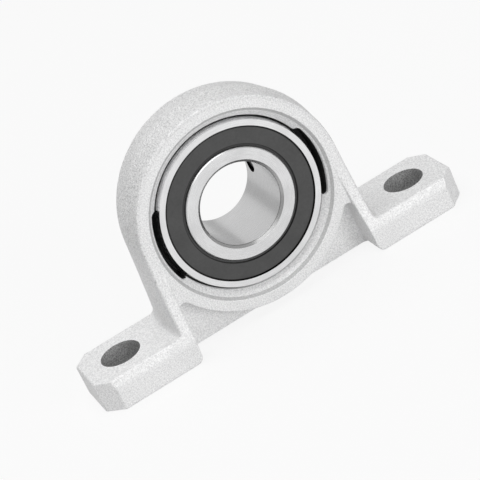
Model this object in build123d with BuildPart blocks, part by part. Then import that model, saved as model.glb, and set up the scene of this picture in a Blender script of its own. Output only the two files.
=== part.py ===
from build123d import *
from math import cos, radians, sin, sqrt
import os

# Self-aligning pillow block for a 20 mm shaft: a die-cast zinc housing that holds a sealed
# ball bearing insert, whose spherical outer ring swivels in a spherical seat.
# The base stands on z = 0. +X runs along the base, +Y along the shaft towards the set
# screw collar, and the origin lies midway between the bolt holes.
# Lengths are in millimetres and angles in degrees.

os.makedirs("parts", exist_ok=True)

# ---- Housing: feet ----
shaft_height = 28.0  # above the base
bolt_spacing = 80.0
bolt_hole_diameter = 10.0
foot_end = 10.0  # from a bolt hole's axis to the end of the foot
foot_width = 20.0
foot_height = 8.2
foot_corner = 4.0  # plan chamfer at the outer corners

# ---- Housing: head and legs ----
head_wall = 5.8  # round the insert, at the parting plane
head_width = 14.0
draft_angle = 6.5  # outer faces, both ways from the parting plane
leg_lean = 3.3  # leg faces, from upright
rib_fade = 2.0  # the ribs rise out of the head's faces this far below the shaft
rib_foot_drop = 2.0  # and reach full width this far below the foot's top
rib_foot_radius = 5.0
leg_foot_radius = 1.5
cast_edge_radius = 0.6
corner_radius = 0.6
base_edge_radius = 0.6

# ---- Housing: pockets below the head ----
rib_width = 3.7  # at the base, in front view
foot_gap_radius = 2.0  # inner bottom edge of each foot
web_thickness = 3.5
web_lift = 0.5  # underside of the web above the base
arch_inset = 0.9  # the pockets' arch lies this far inside the head's outline
pocket_tip_radius = 1.3
pocket_floor_radius = 1.2
pocket_edge_radius = 0.3

# ---- Housing: seat for the insert ----
seat_clearance = 0.04
seat_band = 6.8  # width of the spherical band
seat_mouth_depth = 2.1  # from the rim's face to the end of the flare
seat_flare = 1.4
rim_step = 0.7  # short steep step inside the rim
rim_edge_radius = 0.3
notch_depth = 1.0  # beyond the insert's sphere
notch_clearance = 3.2  # above and below a ring that goes in edgeways
notch_corner_radius = 1.0

# ---- Insert: rings ----
shaft_diameter = 20.0
ring_diameter = 42.0  # of the spherical outer surface
ring_width = 12.0
inner_ring_length = 21.0
bore_chamfer = 0.7
face_chamfer = 0.2
collar_chamfer = 0.5

# ---- Insert: balls and their grooves ----
ball_count = 9
ball_diameter = 6.35
race_clearance = 0.02  # from a ball to each race
groove_radius = 3.3
groove_depth = 1.3  # below the lands beside it

# ---- Insert: cage and rivets ----
cage_thickness = 0.45
cage_clearance = 0.12  # from a ball to its pocket
cage_land_gap = 0.75  # to the lands of both rings
rivet_diameter = 0.9
rivet_head_diameter = 1.5
rivet_head_height = 0.3

# ---- Insert: seals ----
seal_recess_step = 1.2  # above the outer ring's land
seal_groove_step = 0.35  # above the recess
seal_groove_width = 0.55
seal_groove_inset = 0.75  # from the ring's face
seal_sink = 0.25  # seal's face below the ring's
seal_edge_gap = 0.2  # round the seal's face
seal_clearance = 0.02  # in the groove
lip_clearance = 0.05
lip_width = 0.25
lip_height = 0.65
core_thickness = 0.35
core_inner_cover = 0.6  # rubber round the core's inner and outer edges
core_outer_cover = 0.2

# ---- Insert: set screws, M5 drawn plain at the thread's pitch diameter ----
screw_diameter = 4.48
screw_length = 4.0
screw_clearance = 0.03  # round the thread
screw_back_off = 0.4  # from the tip to the bore
screw_from_end = 4.2  # from the collar's end to the screw's axis
screw_angles = (0, 120)  # about the shaft, from +X towards +Z
socket_width = 2.5
socket_depth = 2.0
cup_diameter = 2.6
cup_taper = 0.7
cup_depth = 0.5

# ---- Shared places ----
near = 0.01  # selectors take closer places as the same
lean = radians(leg_lean)
half_foot = foot_width / 2
half_head = head_width / 2
half_web = web_thickness / 2
half_ring = ring_width / 2
half_band = seat_band / 2
base_length = bolt_spacing + 2 * foot_end
bore_radius = shaft_diameter / 2
ring_radius = ring_diameter / 2
head_radius = ring_radius + head_wall
above = shaft_height + 2 * head_radius  # clear of the head
leg_base = (head_radius + shaft_height * sin(lean)) / cos(lean)  # leg face at z = 0
leg_top = (head_radius * cos(lean), shaft_height + head_radius * sin(lean))
rib_top = shaft_height - rib_fade
rib_base = foot_height - rib_foot_drop
shaft_axis = Axis((0, 0, shaft_height), (0, 1, 0))
# Looking along the shaft: local x is +X, local y is +Z, extrusions go to the front
shaft_view = Plane(origin=(0, 0, shaft_height), x_dir=(1, 0, 0), z_dir=(0, -1, 0))
# Profiles of turned pieces: local x runs along the shaft, local y is the radius
profile_plane = Plane(origin=(0, 0, shaft_height), x_dir=(0, 1, 0), z_dir=(1, 0, 0))

# ---- Housing ----
# The front half is drawn, drafted and rounded, then mirrored about the parting plane.
with BuildPart() as housing:
    # Head and legs: a circle with its two leaning tangents, deeper than the feet until
    # the ribs' sweep trims it
    with BuildSketch(Plane.XZ):
        with Locations((0, shaft_height)):
            Circle(head_radius)
        with BuildLine():
            Polyline((-leg_base, 0), (leg_base, 0), leg_top, (-leg_top[0], leg_top[1]), close=True)
        make_face()
    extrude(amount=foot_width)
    sides = housing.faces().filter_by(lambda f: abs(f.normal_at().Y) < near)
    draft(sides.sort_by(Axis.Z)[1:], neutral_plane=Plane.XZ, angle=draft_angle)

    # Feet in plan
    with BuildSketch(Plane.XY) as plan:
        Rectangle(base_length, foot_width)
        chamfer(plan.vertices(), foot_corner)
        with Locations((0, half_foot)):
            Rectangle(base_length, foot_width, mode=Mode.SUBTRACT)
    extrude(amount=foot_height)
    foot_tops = housing.faces().filter_by(Plane.XY).sort_by(Axis.Z)[1:]
    fillet(foot_tops.edges().group_by(lambda e: round(abs(e.center().X), 1))[0], leg_foot_radius)
    uprights = housing.edges().filter_by(Axis.Z).filter_by(lambda e: e.center().Y < -near)
    fillet(uprights, corner_radius)

    # Seen from the end, the ribs sweep from the feet's width up into the narrower head
    with BuildSketch(Plane.YZ) as end_view:
        with BuildLine():
            TangentArc((-half_head, rib_top), (-half_foot, rib_base), tangent=(0, -1))
            Polyline(
                (-half_foot, rib_base), (-half_foot, 0), (0, 0),
                (0, above), (-half_head, above), (-half_head, rib_top),
            )
        make_face()
        fillet(end_view.vertices().sort_by_distance((-half_foot, rib_base))[0], rib_foot_radius)
    extrude(amount=base_length, both=True, mode=Mode.INTERSECT)

    # Rounded cast edges: the outline of the front, the tops of the feet, then the base
    front = housing.faces().filter_by(lambda f: f.normal_at().Y < -0.8).edges()
    outline = front.filter_by(lambda e: sum(e.is_same(other) for other in front) == 1)
    outline = outline.filter_by(lambda e: e.center().Z > foot_height - near)
    foot_tops = housing.faces().filter_by(Plane.XY).sort_by(Axis.Z)[1:]
    foot_ends = foot_tops.edges().filter_by(lambda e: abs(e.center().X) > base_length / 2 - foot_corner)
    foot_ends = foot_ends.filter_by(lambda e: not any(e.is_same(other) for other in outline))
    fillet(outline + foot_ends, cast_edge_radius)
    underside = housing.faces().sort_by(Axis.Z)[0]
    fillet(underside.edges().filter_by(lambda e: e.center().Y < -near), base_edge_radius)

    # Space between the feet, seen along the shaft
    gap_top = rib_top + rib_fade / 2
    gap_half = leg_base - rib_width
    with BuildSketch(Plane.XZ, mode=Mode.PRIVATE) as gap:
        with BuildLine():
            Polyline(
                (0, gap_top), (gap_half - gap_top * sin(lean) / cos(lean), gap_top), (gap_half, 0),
                (gap_half + foot_gap_radius, 0), (gap_half + foot_gap_radius, -foot_gap_radius),
                (0, -foot_gap_radius),
            )
            mirror(about=Plane.YZ)
        make_face()
        feet = gap.vertices().filter_by(lambda v: abs(v.Y) < near)
        fillet(feet.filter_by(lambda v: abs(v.X) < gap_half + near), foot_gap_radius)
    # It is open under the web,
    with BuildSketch(Plane.XZ):
        add(gap.sketch)
        with Locations((0, web_lift + above / 2)):
            Rectangle(base_length, above, mode=Mode.SUBTRACT)
    extrude(amount=foot_width, mode=Mode.SUBTRACT)
    # in front of the head's face,
    with BuildSketch(Plane.XZ.offset(half_head)):
        add(gap.sketch)
    extrude(amount=foot_width, mode=Mode.SUBTRACT)
    # and below the head down to the web
    with BuildSketch(Plane.XZ.offset(half_web)) as pocket:
        add(gap.sketch)
        with Locations((0, shaft_height)):
            Circle(head_radius - arch_inset, mode=Mode.SUBTRACT)
        fillet(pocket.vertices().sort_by(Axis.Y)[-2:], pocket_tip_radius)
    extrude(amount=foot_width, mode=Mode.SUBTRACT)
    web_face = housing.faces().filter_by(Plane.XZ).filter_by(lambda f: abs(f.center().Y + half_web) < near)
    fillet(web_face.edges().sort_by(Axis.Z)[1:], pocket_floor_radius)

    # Rounded mouths of the pockets and inner edges of the ribs. The rounding leaves part of
    # the ribs' step standing above the pockets' tips.
    face = housing.faces().filter_by(Plane.XZ).filter_by(lambda f: abs(f.center().Y + half_head) < near)
    mouths = face.edges().filter_by(lambda e: e.center().Z < rib_top - near)
    tip = mouths.filter_by(GeomType.CIRCLE).sort_by(Axis.Z)[-1].center().Z
    rib_rise = half_foot - half_head
    sweep_radius = ((rib_top - rib_base) ** 2 + rib_rise**2) / (2 * rib_rise)
    tip_step = sweep_radius - sqrt(sweep_radius**2 - (rib_top - tip) ** 2)
    ribs = housing.faces().filter_by(lambda f: f.normal_at().Y < -0.8 and f.center().Y < -half_head - near)
    borders = ribs.edges().filter_by(lambda e: sum(e.is_same(other) for other in ribs.edges()) == 1)
    borders = borders.filter_by(lambda e: abs(e.center().X) < gap_half + foot_gap_radius)
    borders = borders.filter_by(lambda e: e.center().Z < rib_top - near and e.geom_type != GeomType.BSPLINE)
    fillet(mouths + borders, min(pocket_edge_radius, 0.3 * tip_step))
    mirror(about=Plane.XZ)

    # Seat: a spherical band between two flared mouths
    seat_radius = ring_radius + seat_clearance
    flare_radius = ring_radius + seat_flare
    rim_radius = flare_radius + rim_step
    band_edge = sqrt(seat_radius**2 - half_band**2)
    with BuildSketch(profile_plane):
        with BuildLine():
            ThreePointArc((-half_band, band_edge), (0, seat_radius), (half_band, band_edge))
            Polyline(
                (half_band, band_edge), (half_head - seat_mouth_depth, ring_radius),
                (half_head - rim_step, flare_radius), (half_head, rim_radius),
                (half_foot, rim_radius), (half_foot, 0), (0, 0),
            )
            Polyline(
                (-half_band, band_edge), (seat_mouth_depth - half_head, ring_radius),
                (rim_step - half_head, flare_radius), (-half_head, rim_radius),
                (-half_foot, rim_radius), (-half_foot, 0), (0, 0),
            )
        make_face()
    revolve(axis=shaft_axis, mode=Mode.SUBTRACT)
    rims = housing.edges().filter_by(GeomType.CIRCLE).filter_by(lambda e: abs(e.radius - rim_radius) < near)
    fillet(rims, rim_edge_radius)

    # Loading notches: the insert goes in edgeways through the front and is turned
    with BuildSketch(shaft_view) as notches:
        Circle(ring_radius + notch_depth)
        Rectangle(base_length, ring_width + 2 * notch_clearance, mode=Mode.INTERSECT)
        fillet(notches.vertices(), notch_corner_radius)
    extrude(amount=half_foot, mode=Mode.SUBTRACT)

    # Bolt holes
    with BuildSketch(Plane.XY):
        with GridLocations(bolt_spacing, 0, 2, 1):
            Circle(bolt_hole_diameter / 2)
    extrude(amount=foot_height, mode=Mode.SUBTRACT)
housing.part.label = "housing"
export_step(housing.part, "parts/housing.step")

# ---- Rings ----
ball_radius = ball_diameter / 2
pitch_radius = (bore_radius + ring_radius) / 2
outer_race = pitch_radius + ball_radius + race_clearance
inner_race = pitch_radius - ball_radius - race_clearance
land_radius = outer_race - groove_depth
shoulder_radius = inner_race + groove_depth
groove_half = sqrt(groove_radius**2 - (groove_radius - groove_depth) ** 2)
ring_edge = sqrt(ring_radius**2 - half_ring**2)
recess_radius = land_radius + seal_recess_step
seal_groove_radius = recess_radius + seal_groove_step
groove_mouth = half_ring - seal_groove_inset
seal_shoulder = groove_mouth - seal_groove_width
collar_end = inner_ring_length - half_ring

with BuildPart() as outer_ring:
    with BuildSketch(profile_plane):
        with BuildLine():
            ThreePointArc((-half_ring, ring_edge), (0, ring_radius), (half_ring, ring_edge))
            ThreePointArc((-groove_half, land_radius), (0, outer_race), (groove_half, land_radius))
            for side in (-1, 1):
                Polyline(
                    (side * half_ring, ring_edge), (side * half_ring, recess_radius),
                    (side * groove_mouth, recess_radius), (side * groove_mouth, seal_groove_radius),
                    (side * seal_shoulder, seal_groove_radius), (side * seal_shoulder, land_radius),
                    (side * groove_half, land_radius),
                )
        make_face()
    revolve(axis=shaft_axis)
outer_ring.part.label = "outer_ring"
export_step(outer_ring.part, "parts/outer_ring.step")

screw_planes = []
for angle in screw_angles:
    outward = (cos(radians(angle)), 0, sin(radians(angle)))
    centre = (0, collar_end - screw_from_end, shaft_height)
    screw_planes.append(Plane(origin=centre, x_dir=(0, 1, 0), z_dir=outward))

with BuildPart() as inner_ring:
    with BuildSketch(profile_plane) as section:
        with BuildLine():
            ThreePointArc((-groove_half, shoulder_radius), (0, inner_race), (groove_half, shoulder_radius))
            Polyline(
                (groove_half, shoulder_radius), (collar_end, shoulder_radius),
                (collar_end, bore_radius), (-half_ring, bore_radius),
                (-half_ring, shoulder_radius), (-groove_half, shoulder_radius),
            )
        make_face()
        chamfer(section.vertices().filter_by(lambda v: abs(v.Y - bore_radius) < near), bore_chamfer)
        chamfer(section.vertices().sort_by_distance((-half_ring, shoulder_radius))[0], face_chamfer)
        chamfer(section.vertices().sort_by_distance((collar_end, shoulder_radius))[0], collar_chamfer)
    revolve(axis=shaft_axis)
    for plane in screw_planes:
        with BuildSketch(plane):
            Circle(screw_diameter / 2 + screw_clearance)
        extrude(amount=ring_radius, mode=Mode.SUBTRACT)
inner_ring.part.label = "inner_ring"
export_step(inner_ring.part, "parts/inner_ring.step")

# ---- Balls ----
ball_step = 360 / ball_count
for number in range(1, ball_count + 1):
    angle = radians(90 + (number - 1) * ball_step)
    with BuildPart() as ball:
        with Locations((pitch_radius * cos(angle), 0, shaft_height + pitch_radius * sin(angle))):
            Sphere(ball_radius)
    ball.part.label = f"ball_{number}"
    export_step(ball.part, f"parts/ball_{number}.step")

# ---- Cage: two pressed halves that meet on the balls' plane, and their rivets ----
cage_inner = shoulder_radius + cage_land_gap
cage_outer = land_radius - cage_land_gap
pocket_radius = ball_radius + cage_clearance
back_view = Plane(origin=(0, 0, shaft_height), x_dir=(-1, 0, 0), z_dir=(0, 1, 0))

for name, view in (("cage_front", shaft_view), ("cage_back", back_view)):
    with BuildPart(view) as cage:
        Cylinder(cage_outer, cage_thickness, align=(Align.CENTER, Align.CENTER, Align.MIN))
        with PolarLocations(pitch_radius, ball_count, start_angle=90):
            Sphere(pocket_radius + cage_thickness)
        with BuildSketch(view):
            Circle(cage_outer)
            Circle(cage_inner, mode=Mode.SUBTRACT)
        extrude(amount=half_ring, mode=Mode.INTERSECT)
        with PolarLocations(pitch_radius, ball_count, start_angle=90):
            Sphere(pocket_radius, mode=Mode.SUBTRACT)
        with PolarLocations(pitch_radius, ball_count, start_angle=90 + ball_step / 2):
            Hole(rivet_diameter / 2)
    cage.part.label = name
    export_step(cage.part, f"parts/{name}.step")

with BuildPart(shaft_view) as cage_rivets:
    with PolarLocations(pitch_radius, ball_count, start_angle=90 + ball_step / 2):
        Cylinder(rivet_diameter / 2, 2 * cage_thickness)
        with Locations((0, 0, cage_thickness), (0, 0, -cage_thickness - rivet_head_height)):
            Cylinder(
                rivet_head_diameter / 2, rivet_head_height,
                align=(Align.CENTER, Align.CENTER, Align.MIN),
            )
cage_rivets.part.label = "cage_rivets"
export_step(cage_rivets.part, "parts/cage_rivets.step")

# ---- Seals: rubber moulded onto a pressed steel core, snapped into the outer ring ----
seal_front = half_ring - seal_sink
seal_back = seal_shoulder + seal_clearance
core_front = seal_back + core_thickness
bead_front = groove_mouth - seal_clearance
bead_radius = seal_groove_radius - seal_clearance
lip_radius = shoulder_radius + lip_clearance
seal_inner = lip_radius + lip_height
seal_outer = recess_radius - seal_edge_gap
core_inner = seal_inner + core_inner_cover
core_outer = seal_outer - core_outer_cover

for name, side in (("front", -1), ("back", 1)):
    with BuildPart() as rubber:
        with BuildSketch(profile_plane):
            with BuildLine():
                Polyline(
                    (side * seal_front, seal_inner), (side * seal_front, seal_outer),
                    (side * bead_front, seal_outer), (side * (bead_front - seal_clearance), bead_radius),
                    (side * (seal_back + seal_clearance), bead_radius), (side * seal_back, core_outer),
                    (side * core_front, core_outer), (side * core_front, core_inner),
                    (side * seal_back, core_inner), (side * seal_back, seal_inner),
                    (side * (core_front - lip_width), lip_radius), (side * core_front, lip_radius),
                    (side * (core_front + lip_width), seal_inner),
                    close=True,
                )
            make_face()
        revolve(axis=shaft_axis)
    rubber.part.label = f"seal_{name}_rubber"
    export_step(rubber.part, f"parts/seal_{name}_rubber.step")

    with BuildPart() as core:
        with BuildSketch(profile_plane):
            with Locations((side * (seal_back + core_thickness / 2), (core_inner + core_outer) / 2)):
                Rectangle(core_thickness, core_outer - core_inner)
        revolve(axis=shaft_axis)
    core.part.label = f"seal_{name}_core"
    export_step(core.part, f"parts/seal_{name}_core.step")

# ---- Set screws: cup points inward, hexagon sockets outward ----
screw_radius = screw_diameter / 2
screw_tip = bore_radius + screw_back_off
screw_head = screw_tip + screw_length
for number, plane in enumerate(screw_planes, 1):
    with BuildPart() as screw:
        with BuildSketch(Plane(origin=plane.origin, x_dir=plane.z_dir, z_dir=plane.x_dir)):
            with BuildLine():
                Polyline(
                    (screw_tip + cup_depth, 0), (screw_tip, cup_diameter / 2),
                    (screw_tip + cup_taper, screw_radius), (screw_head, screw_radius), (screw_head, 0),
                    close=True,
                )
            make_face()
        revolve(axis=Axis(plane.origin, plane.z_dir))
        with BuildSketch(plane.offset(screw_head)):
            RegularPolygon(socket_width / 2, 6, major_radius=False)
        extrude(amount=-socket_depth, mode=Mode.SUBTRACT)
    screw.part.label = f"set_screw_{number}"
    export_step(screw.part, f"parts/set_screw_{number}.step")
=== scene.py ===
import bmesh
import bpy
from mathutils import Matrix, Vector

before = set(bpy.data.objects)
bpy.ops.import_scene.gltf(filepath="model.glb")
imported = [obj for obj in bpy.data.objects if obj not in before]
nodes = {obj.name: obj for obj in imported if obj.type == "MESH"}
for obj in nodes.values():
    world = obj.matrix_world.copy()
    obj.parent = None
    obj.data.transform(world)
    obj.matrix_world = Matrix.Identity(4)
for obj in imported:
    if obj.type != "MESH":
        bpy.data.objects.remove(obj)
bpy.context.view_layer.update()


# Studio: a pale table in a white surround. A large soft box hangs overhead, a second one
# stands low at the front right, and a weak one at the back opens up that side.
white = (1, 1, 1, 1)
surround_in_metal, surround_as_light = 0.6, 0.2
table_in_metal, table_as_light = 0.4, 0.0
table_to_camera = 0.86
table_skin = (0.8, 0.8, 0.8, 1)
table_reach = 3.0  # from the middle to each edge, in metres
aim_point = Vector((0, 0, 0.02))


def put(tree, kind, inputs=None, **settings):
    # adds a shader node, with its inputs linked to sockets or set to values
    made = tree.nodes.new(kind)
    for name, value in settings.items():
        setattr(made, name, value)
    for socket, value in (inputs or {}).items():
        if isinstance(value, bpy.types.NodeSocket):
            tree.links.new(value, made.inputs[socket])
        else:
            made.inputs[socket].default_value = value
    return made


def maths(tree, operation, *terms):
    return put(tree, "ShaderNodeMath", dict(enumerate(terms)), operation=operation).outputs[0]


def seen_by(tree, in_metal, as_light):
    # 1 for the camera's own rays, and the level that all other rays find
    ray = put(tree, "ShaderNodeLightPath").outputs
    mirrored = maths(tree, "MAXIMUM", ray["Is Glossy Ray"], ray["Is Transmission Ray"])
    level = maths(tree, "MULTIPLY_ADD", mirrored, in_metal - as_light, as_light)
    return ray["Is Camera Ray"], level


def soft_box(name, place, width, height, watts):
    lamp = bpy.data.lights.new(name, "AREA")
    lamp.shape = "RECTANGLE"
    lamp.size = width
    lamp.size_y = height
    lamp.energy = watts
    lamp_object = bpy.data.objects.new(name, lamp)
    lamp_object.location = place
    lamp_object.rotation_euler = (aim_point - Vector(place)).to_track_quat("-Z", "Y").to_euler()
    bpy.context.scene.collection.objects.link(lamp_object)


bpy.context.scene.view_settings.view_transform = "Standard"

surround = bpy.data.worlds.new("surround")
bpy.context.scene.world = surround
surround.use_nodes = True
sky = surround.node_tree
sky.nodes.clear()
camera_ray, level = seen_by(sky, surround_in_metal, surround_as_light)
strength = maths(sky, "MAXIMUM", camera_ray, level)
backdrop = put(sky, "ShaderNodeBackground", {"Color": white, "Strength": strength})
put(sky, "ShaderNodeOutputWorld", {"Surface": backdrop.outputs[0]})

table_top = bpy.data.materials.new("table_top")
table_top.use_nodes = True
top = table_top.node_tree
top.nodes.clear()
camera_ray, level = seen_by(top, table_in_metal, table_as_light)
glow_share = maths(top, "MAXIMUM", maths(top, "MULTIPLY", camera_ray, table_to_camera), level)
lit = put(top, "ShaderNodeBsdfDiffuse", {"Color": table_skin})
glow = put(top, "ShaderNodeEmission", {"Color": white, "Strength": 1.0})
mixed = put(top, "ShaderNodeMixShader", {0: glow_share, 1: lit.outputs[0], 2: glow.outputs[0]})
put(top, "ShaderNodeOutputMaterial", {"Surface": mixed.outputs[0]})

sheet = bmesh.new()
bmesh.ops.create_grid(sheet, x_segments=1, y_segments=1, size=table_reach)
table_mesh = bpy.data.meshes.new("table")
sheet.to_mesh(table_mesh)
sheet.free()
table_mesh.materials.append(table_top)
table = bpy.data.objects.new("table", table_mesh)
bpy.context.scene.collection.objects.link(table)

soft_box("soft_box_overhead", (-0.15, 0.0, 0.80), width=0.9, height=0.9, watts=4.8)
soft_box("soft_box_front", (0.20, -0.75, 0.21), width=0.6, height=0.4, watts=2.9)
soft_box("soft_box_back", (0.0, 0.61, 0.53), width=0.8, height=0.8, watts=0.6)

camera_data = bpy.data.cameras.new("camera")
camera_data.sensor_width = 36
camera_data.lens = 154.736
camera = bpy.data.objects.new("camera", camera_data)
bpy.context.scene.collection.objects.link(camera)
bpy.context.scene.camera = camera
camera_place = (-0.0984859, -0.4222953, 0.2319593)
right = Vector((0.83778890, -0.38636038, -0.38579194))
down = Vector((-0.50867470, -0.29557459, -0.80863200))
ahead = Vector((0.19839307, 0.87370551, -0.44416087))
turn = Matrix((right, -down, -ahead)).transposed().to_4x4()
camera.matrix_world = Matrix.Translation(camera_place) @ turn


# Housing: a zinc die casting with a shot-blasted skin, speckled with fine pits and coarsest
# round the outside of the head, where darker specks towards the crown are also painted shade.
# Its seat is bored and its base is milled. Painted shade darkens the seat beside the ring, the
# step in the opening and the bolt holes, and the loading notches are painted near black.
mm = 0.001
shaft_height = 28 * mm
bolt_to_middle = 40 * mm

# limits in millimetres: radii from the shaft's axis, and depths from the seat's middle plane
seat_radii, seat_depths = (20.0, 21.08), (0.0, 4.2)
step_radii, step_depths = (22.35, 23.25), (6.32, 6.96)
notch_radii, notch_along, notch_heights = (21.1, 22.3), (-5.0, 0.2), (-9.4, 9.4)
bolt_hole_radii = (0.0, 5.04)
base_heights = (-1.0, 0.1)

# where the coarse skin of the head and the painted shade on its crown fade in, outwards and upwards
fade_radii, fade_heights = (25.2 * mm, 26.2 * mm), (-4 * mm, 4 * mm)

zinc_dark, zinc_light = (0.70, 0.70, 0.703), (0.92, 0.92, 0.92)
milled_dark, milled_light = (0.62, 0.62, 0.625), (0.8, 0.8, 0.8)
bolt_hole_shade_dark, bolt_hole_shade_light = 0.24, 0.50
seat_shade_dark, seat_shade_light = 0.05, 0.09
pit_grey, patch_grey, speck_and_shade_grey, step_shade_grey, notch_shade_black = 0.45, 0.35, 0.40, 0.25, 0.02
zinc_relief = 0.14 * mm
pit_share = 0.6  # of the relief, and the grain has the rest
head_coarseness = 3.0  # of the head's coarse skin, beside that relief
machined_polish = 0.2  # off the roughness of the seat and the base
step_shade_share = 0.45  # how far the step takes its painted shade
stroke_stretch = (0.04, 1, 1)  # the cutter's strokes run along the base

# how much of a noise's range a colour spans: the narrower it is, the stronger the contrast
wide, middling, narrow = (0.3, 0.7), (0.34, 0.66), (0.35, 0.65)


def new_finish(name, metallic):
    finish = bpy.data.materials.new(name)
    finish.use_nodes = True
    tree = finish.node_tree
    tree.nodes.clear()
    place = put(tree, "ShaderNodeTexCoord").outputs["Object"]
    skin = put(tree, "ShaderNodeBsdfPrincipled", {"Metallic": metallic})
    put(tree, "ShaderNodeOutputMaterial", {"Surface": skin.outputs[0]})
    return finish, tree, place, skin


def paint(tree, skin, colour, roughness, height, relief):
    bump = put(tree, "ShaderNodeBump", {"Strength": 1.0, "Distance": relief, "Height": height})
    tree.links.new(colour, skin.inputs["Base Color"])
    tree.links.new(roughness, skin.inputs["Roughness"])
    tree.links.new(bump.outputs[0], skin.inputs["Normal"])


def wear(finish, *pieces):
    for piece in pieces:
        nodes[piece].material_slots[0].material = finish


def cloud(tree, place, scale, detail=3.0, rough=0.5):
    made = put(
        tree, "ShaderNodeTexNoise", {"Vector": place, "Scale": scale, "Detail": detail, "Roughness": rough}
    )
    return made.outputs[0]


def ranged(tree, value, low, high, to_low=0.0, to_high=1.0):
    made = put(
        tree, "ShaderNodeMapRange",
        {"Value": value, "From Min": low, "From Max": high, "To Min": to_low, "To Max": to_high},
    )
    return made.outputs[0]


def blend(tree, first, second, share):
    return maths(
        tree, "ADD", maths(tree, "MULTIPLY", first, 1 - share), maths(tree, "MULTIPLY", second, share)
    )


def shades(tree, factor, first, second):
    # from the first colour to the second, where one number stands for a grey
    ends = {}
    for socket, shade in ((6, first), (7, second)):
        if isinstance(shade, float):
            shade = (shade, shade, shade)
        if isinstance(shade, tuple):
            shade = (*shade, 1)
        ends[socket] = shade
    return put(tree, "ShaderNodeMix", {0: factor, **ends}, data_type="RGBA").outputs[2]


def within(tree, measure, limits):
    # 1 where the measure lies between the two limits in millimetres, and 0 elsewhere
    low, high = limits
    return maths(tree, "COMPARE", measure, (low + high) / 2 * mm, (high - low) / 2 * mm)


def both(tree, *masks):
    shared = masks[0]
    for mask in masks[1:]:
        shared = maths(tree, "MULTIPLY", shared, mask)
    return shared


def split_up(tree, vector):
    return put(tree, "ShaderNodeSeparateXYZ", {0: vector}).outputs


def length_of(tree, x, y, z):
    joined = put(tree, "ShaderNodeCombineXYZ", {0: x, 1: y, 2: z}).outputs[0]
    return put(tree, "ShaderNodeVectorMath", {0: joined}, operation="LENGTH").outputs["Value"]


def round_the_shaft(tree, place):
    # distance from the shaft's axis, the angle about it, and the place along it
    across, along, up = split_up(tree, place)
    over = maths(tree, "SUBTRACT", up, shaft_height)
    return length_of(tree, across, 0.0, over), maths(tree, "ARCTAN2", over, across), along


cast_zinc, tree, place, skin = new_finish("cast_zinc", metallic=0.35)
across, _, up = split_up(tree, place)
radius, _, along = round_the_shaft(tree, place)
depth = maths(tree, "ABSOLUTE", along)
height = maths(tree, "SUBTRACT", up, shaft_height)

grain = cloud(tree, place, scale=3000, detail=1.0, rough=0.6)
pits = cloud(tree, place, scale=1700, detail=2.0)
patches = cloud(tree, place, scale=120)
coarse = cloud(tree, place, scale=1500, rough=0.7)
crown_skin_and_shade = both(tree, ranged(tree, radius, *fade_radii), ranged(tree, height, *fade_heights))
pit_cover = ranged(tree, pits, 0.26, 0.40, to_low=0.5, to_high=0.0)
patch_cover = ranged(tree, patches, *narrow, to_low=0.05, to_high=0.0)
speck_and_shade_cover = ranged(tree, coarse, 0.34, 0.52, to_low=0.34, to_high=0.0)
colour = shades(tree, ranged(tree, grain, *middling), zinc_dark, zinc_light)
colour = shades(tree, pit_cover, colour, pit_grey)
colour = shades(tree, patch_cover, colour, patch_grey)
# painted shade: darker specks over the coarse skin on the upper half of the head's outside
colour = shades(tree, maths(tree, "MULTIPLY", speck_and_shade_cover, crown_skin_and_shade), colour, speck_and_shade_grey)

off_bolt = maths(tree, "SUBTRACT", maths(tree, "ABSOLUTE", across), bolt_to_middle)
bolt_hole = within(tree, length_of(tree, off_bolt, along, 0.0), bolt_hole_radii)
# painted shade: the bolt holes are dark grey inside, speckled like the cast grain
bolt_hole_shade = shades(tree, ranged(tree, grain, *narrow), bolt_hole_shade_dark, bolt_hole_shade_light)
colour = shades(tree, bolt_hole, colour, bolt_hole_shade)

# painted shade: the step wall in the opening is greyed
step_shade = both(tree, within(tree, radius, step_radii), within(tree, depth, step_depths))
colour = shades(tree, maths(tree, "MULTIPLY", step_shade, step_shade_share), colour, step_shade_grey)
# painted shade: the seat beside the ring is near black, for the gap between housing and ring
seat = both(tree, within(tree, radius, seat_radii), within(tree, depth, seat_depths))
bored = ranged(tree, cloud(tree, place, scale=900, rough=0.55), *wide)
colour = shades(tree, seat, colour, shades(tree, bored, seat_shade_dark, seat_shade_light))
# painted shade: the loading notches are near black, for the dark gap behind them
notch_shade = both(
    tree, within(tree, radius, notch_radii), within(tree, along, notch_along),
    within(tree, height, notch_heights),
)
colour = shades(tree, notch_shade, colour, notch_shade_black)

base = within(tree, up, base_heights)
drawn_out = put(tree, "ShaderNodeMapping", {"Vector": place, "Scale": stroke_stretch}).outputs[0]
strokes = ranged(tree, cloud(tree, drawn_out, scale=5000, detail=2.0, rough=0.6), *wide)
colour = shades(tree, base, colour, shades(tree, strokes, milled_dark, milled_light))

machined = maths(tree, "MAXIMUM", seat, base)
roughness = ranged(tree, pits, *wide, to_low=0.56, to_high=0.68)
roughness = maths(tree, "SUBTRACT", roughness, maths(tree, "MULTIPLY", machined, machined_polish))
head_relief = maths(tree, "MULTIPLY", coarse, maths(tree, "MULTIPLY", crown_skin_and_shade, head_coarseness))
relief = maths(tree, "ADD", blend(tree, grain, pits, pit_share), head_relief)
relief = maths(tree, "MULTIPLY", relief, maths(tree, "SUBTRACT", 1.0, machined))
paint(tree, skin, colour, roughness, relief, zinc_relief)
wear(cast_zinc, "housing")


# Outer ring: bearing steel, hardened, with its sphere ground and polished and its faces
# ground flat. The edge that holds the seal is painted near black, as shade in the gap at the seal.
seal_gap_shade_radii = (0.0, 18.68)
seal_gap_shade_black = 0.03
ground_relief = 0.004 * mm


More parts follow.
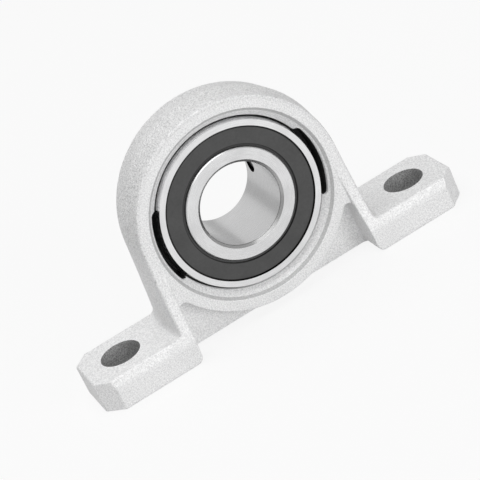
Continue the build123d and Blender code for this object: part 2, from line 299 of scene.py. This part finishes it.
def ground_lines(tree, place, radius, angle, along):
    # fine lines that run round the shaft, and the tone that they and some smears give
    sweep = maths(tree, "MULTIPLY", angle, 0.6 * mm)
    track = put(tree, "ShaderNodeCombineXYZ", {0: radius, 1: along, 2: sweep}).outputs[0]
    lines = cloud(tree, track, scale=6000, detail=2.0, rough=0.6)
    smears = cloud(tree, place, scale=160, detail=2.0)
    return lines, ranged(tree, blend(tree, lines, smears, 0.5), *narrow)


ring_steel, tree, place, skin = new_finish("outer_ring_steel", metallic=1.0)
radius, angle, along = round_the_shaft(tree, place)
lines, tone = ground_lines(tree, place, radius, angle, along)
colour = shades(tree, tone, (0.80, 0.80, 0.805), (0.90, 0.90, 0.905))
# painted shade: near black inside the seal's edge, for the gap between ring and seal
colour = shades(tree, within(tree, radius, seal_gap_shade_radii), colour, seal_gap_shade_black)
roughness = ranged(tree, tone, 0.0, 1.0, to_low=0.2, to_high=0.3)
paint(tree, skin, colour, roughness, lines, ground_relief)
wear(ring_steel, "outer_ring")


# Balls and cage: nine polished steel balls in a cage of two pressed steel halves, which are
# riveted together between the balls.
def even_steel(name, metallic, scale, rough, shade, polish, relief):
    # one kind of skin all over: shade and polish each run from the first value to the second
    finish, tree, place, skin = new_finish(name, metallic)
    noise = cloud(tree, place, scale, rough=rough)
    colour = shades(tree, ranged(tree, noise, *wide), *shade)
    paint(tree, skin, colour, ranged(tree, noise, *wide, *polish), noise, relief)
    return finish


ball_steel = even_steel(
    "ball_steel", metallic=1.0, scale=700, rough=0.5, shade=((0.76, 0.76, 0.765), (0.84, 0.84, 0.85)),
    polish=(0.05, 0.1), relief=0.0005 * mm,
)
wear(ball_steel, *(f"ball_{number}" for number in range(1, 10)))

pressed_steel = {
    "metallic": 1.0, "scale": 1500, "rough": 0.6, "shade": (0.55, 0.66), "polish": (0.28, 0.4),
    "relief": 0.004 * mm,
}
wear(even_steel("cage_steel", **pressed_steel), "cage_front", "cage_back", "cage_rivets")


# Seals: nitrile rubber moulded onto a pressed steel core, with a lip that brushes the inner
# ring. The rubber is satin black, and its rims and the groove beside the lip are painted near black as
# shade.
flat_radii = (14.44, 18.25)
lip_radii = (13.60, 14.22)
rim_shade_black, face_dark, face_light = 0.008, 0.056, 0.074
rubber_relief = 0.008 * mm

wear(even_steel("core_steel", **pressed_steel), "seal_front_core", "seal_back_core")

seal_rubber, tree, place, skin = new_finish("seal_rubber", metallic=0.0)
skin.inputs["Specular IOR Level"].default_value = 0.35
radius, _, _ = round_the_shaft(tree, place)
film = cloud(tree, place, scale=1800, rough=0.6)
smears = cloud(tree, place, scale=200)
face = shades(tree, ranged(tree, blend(tree, film, smears, 0.5), *narrow), face_dark, face_light)
# painted shade: outside the flat face and the lip the rubber is near black
raised = maths(tree, "MAXIMUM", within(tree, radius, flat_radii), within(tree, radius, lip_radii))
roughness = ranged(tree, film, *wide, to_low=0.5, to_high=0.62)
paint(tree, skin, shades(tree, raised, rim_shade_black, face), roughness, film, rubber_relief)
wear(seal_rubber, "seal_front_rubber", "seal_back_rubber")


# Inner ring: the same steel, with a honed bore. Painted shade darkens the bore, its chamfers
# and the edge between them, and the screw holes are painted near black inside.
bore_radii, edge_radii = (0.0, 10.01), (10.01, 10.12)
chamfer_radii, front_chamfer, back_chamfer = (10.02, 10.68), (-5.98, -5.32), (14.32, 14.98)
hole_radii, hole_along = (10.05, 13.55), (8.5, 13.1)
bore_shade_grey, chamfer_shade_grey, edge_shade_grey, screw_hole_shade_black = 0.42, 0.46, 0.22, 0.015
bore_shade_share = 0.45

bore_steel, tree, place, skin = new_finish("inner_ring_steel", metallic=1.0)
radius, angle, along = round_the_shaft(tree, place)
lines, tone = ground_lines(tree, place, radius, angle, along)
colour = shades(tree, tone, (0.72, 0.72, 0.725), (0.83, 0.83, 0.835))
# painted shade: the bore is darker than the faces
bore_shade = maths(tree, "MULTIPLY", within(tree, radius, bore_radii), bore_shade_share)
colour = shades(tree, bore_shade, colour, bore_shade_grey)
# painted shade: the chamfers are greyed, with a dark line where they meet the bore
at_ends = maths(tree, "MAXIMUM", within(tree, along, front_chamfer), within(tree, along, back_chamfer))
chamfer_shade = both(tree, within(tree, radius, chamfer_radii), at_ends)
colour = shades(tree, chamfer_shade, colour, chamfer_shade_grey)
colour = shades(tree, within(tree, radius, edge_radii), colour, edge_shade_grey)
# painted shade: the screw holes are near black inside
screw_hole_shade = both(tree, within(tree, radius, hole_radii), within(tree, along, hole_along))
colour = shades(tree, screw_hole_shade, colour, screw_hole_shade_black)
roughness = ranged(tree, tone, 0.0, 1.0, to_low=0.22, to_high=0.32)
paint(tree, skin, colour, roughness, lines, ground_relief)
wear(bore_steel, "inner_ring")


# Set screws: two socket screws of alloy steel, blackened and oiled. They stand in the collar
# at the back, a third of a turn apart, and clamp it to the shaft.
screw_steel = even_steel(
    "screw_steel", metallic=0.6, scale=2400, rough=0.6,
    shade=((0.025, 0.025, 0.027), (0.05, 0.05, 0.052)), polish=(0.35, 0.5), relief=0.005 * mm,
)
wear(screw_steel, "set_screw_1", "set_screw_2")
